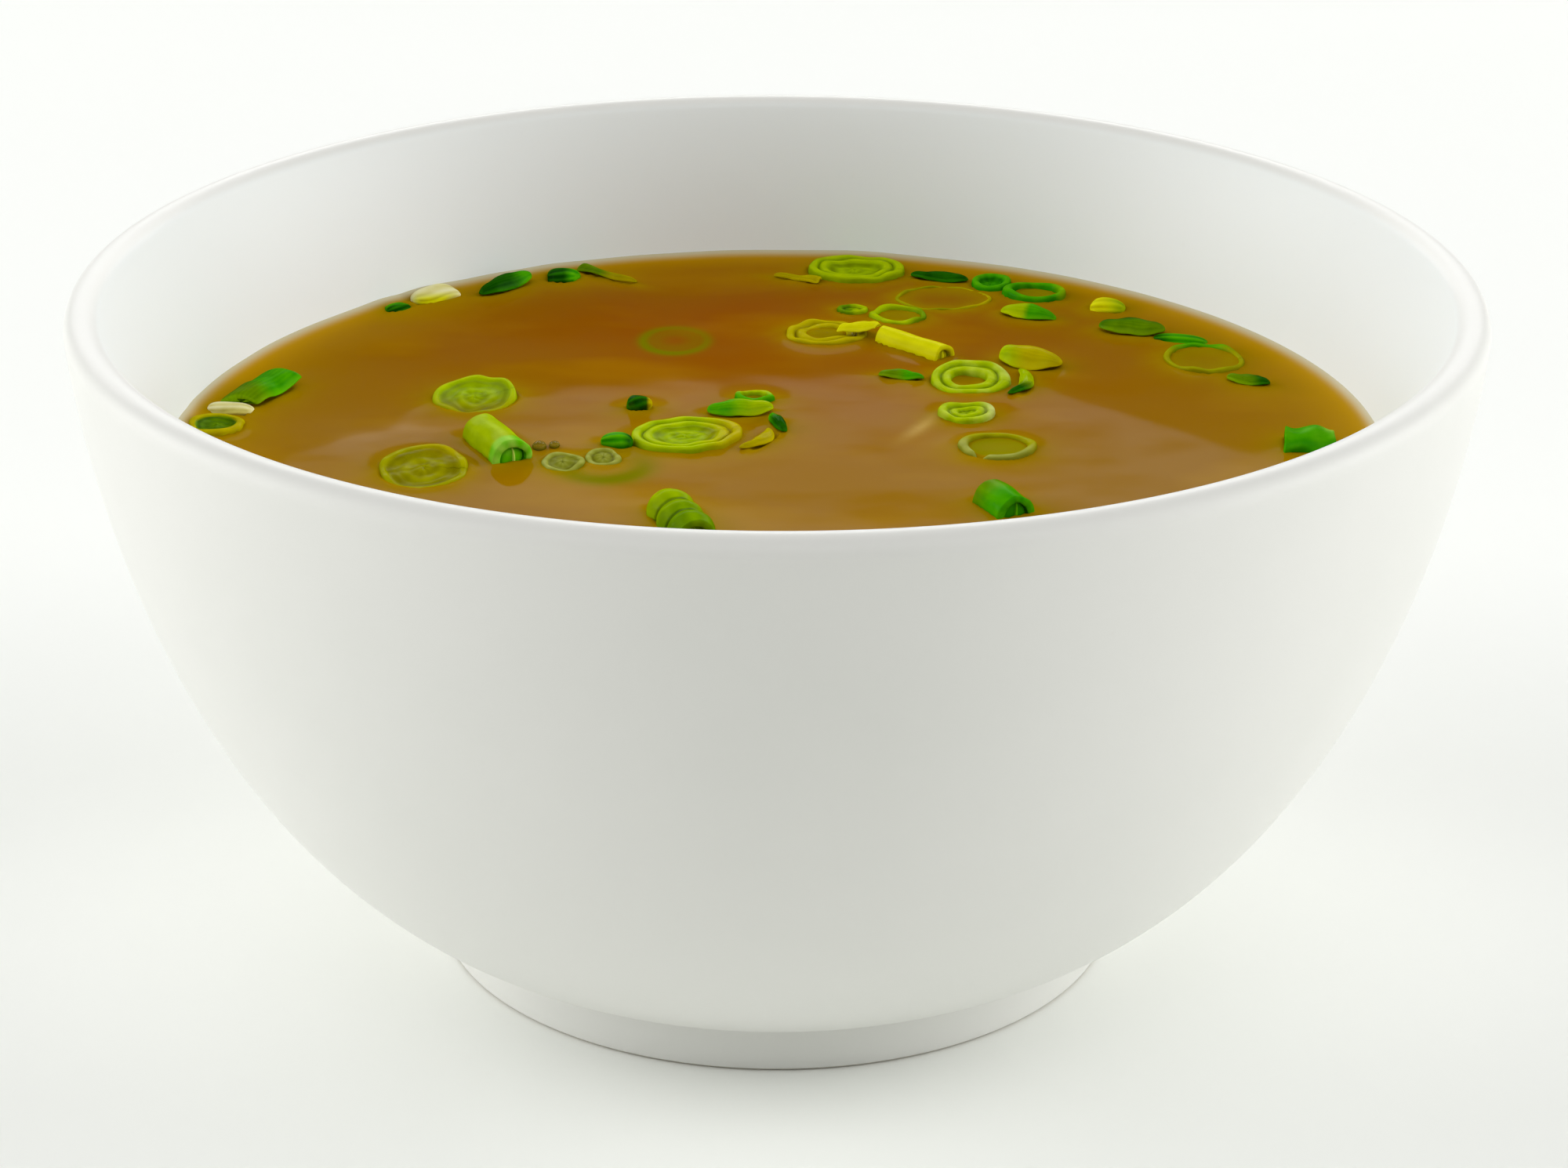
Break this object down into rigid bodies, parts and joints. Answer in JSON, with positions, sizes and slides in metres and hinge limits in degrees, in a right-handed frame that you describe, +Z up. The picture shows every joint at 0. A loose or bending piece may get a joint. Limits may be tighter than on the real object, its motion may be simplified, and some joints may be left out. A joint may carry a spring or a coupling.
{
  "type": "bowl of vegetable broth",
  "caption": "Round footed porcelain bowl filled with clear amber vegetable broth, with cut spring onion rings, tubes and leaf pieces floating on it.",
  "frame": {"origin": "on the table, at the centre of the bowl's foot ring", "axes": "+Z up along the bowl's axis; -Y towards the near side of the picture, +X to its right"},
  "size_m": [0.15, 0.15, 0.075],
  "materials": {
    "porcelain": "plain white glazed porcelain, glossy",
    "broth": "clear amber broth with a wet, mirror-smooth surface",
    "onion_dark_green": "wet dark green leaf",
    "onion_bright_green": "wet bright green leaf",
    "onion_pale_green": "wet pale green stalk",
    "onion_yellow": "wet yellow-green stalk",
    "onion_olive": "wet olive stalk, translucent",
    "onion_cream": "wet cream-white stalk"
  },
  "bodies": {
    "root": {"bowl": "porcelain", "broth": "broth", "leaf_folded_left": "onion_bright_green", "chunk_cream_left": "onion_cream", "ring_yellow_left": "onion_yellow", "ring_pale_upper_left": "onion_pale_green", "tube_pale_left": "onion_pale_green", "ring_olive_left": "onion_olive", "ring_glassy_a": "onion_olive", "ring_glassy_b": "onion_olive", "chunk_green_slice": "onion_bright_green", "chunk_dark_middle": "onion_dark_green", "ring_big_middle": "onion_yellow", "leaf_crescent_middle": "onion_yellow", "leaf_green_middle": "onion_bright_green", "leaf_dark_middle": "onion_dark_green", "ring_green_middle": "onion_pale_green", "tube_stacked_front": "onion_bright_green", "tube_curl_front": "onion_bright_green", "ring_notched_right": "onion_pale_green", "ring_small_right": "onion_pale_green", "ring_large_right": "onion_pale_green", "leaf_outer_layer_right": "onion_dark_green", "leaf_yellow_dome": "onion_yellow", "leaf_sliver_middle": "onion_bright_green", "tube_yellow_back": "onion_yellow", "ring_yellow_back": "onion_yellow", "leaf_tab_back": "onion_yellow", "ring_green_back": "onion_pale_green", "ring_small_back": "onion_pale_green", "ring_thin_back": "onion_olive", "ring_large_back": "onion_pale_green", "leaf_tail_back": "onion_yellow", "leaf_sliver_dark_back": "onion_dark_green", "ring_bright_back": "onion_bright_green", "ring_double_back": "onion_bright_green", "leaf_two_tone_back": "onion_dark_green", "chunk_yellow_back": "onion_yellow", "leaf_edged_back": "onion_bright_green", "chunk_green_back": "onion_bright_green", "ring_olive_right": "onion_olive", "leaf_chip_right": "onion_bright_green", "tube_flat_right": "onion_bright_green", "chunk_dark_back_left": "onion_dark_green", "chunk_cream_back_left": "onion_cream", "leaf_edged_back_left": "onion_dark_green", "chunk_dark_back": "onion_dark_green", "leaf_tail_back_left": "onion_yellow"}
  },
  "joints": []
}
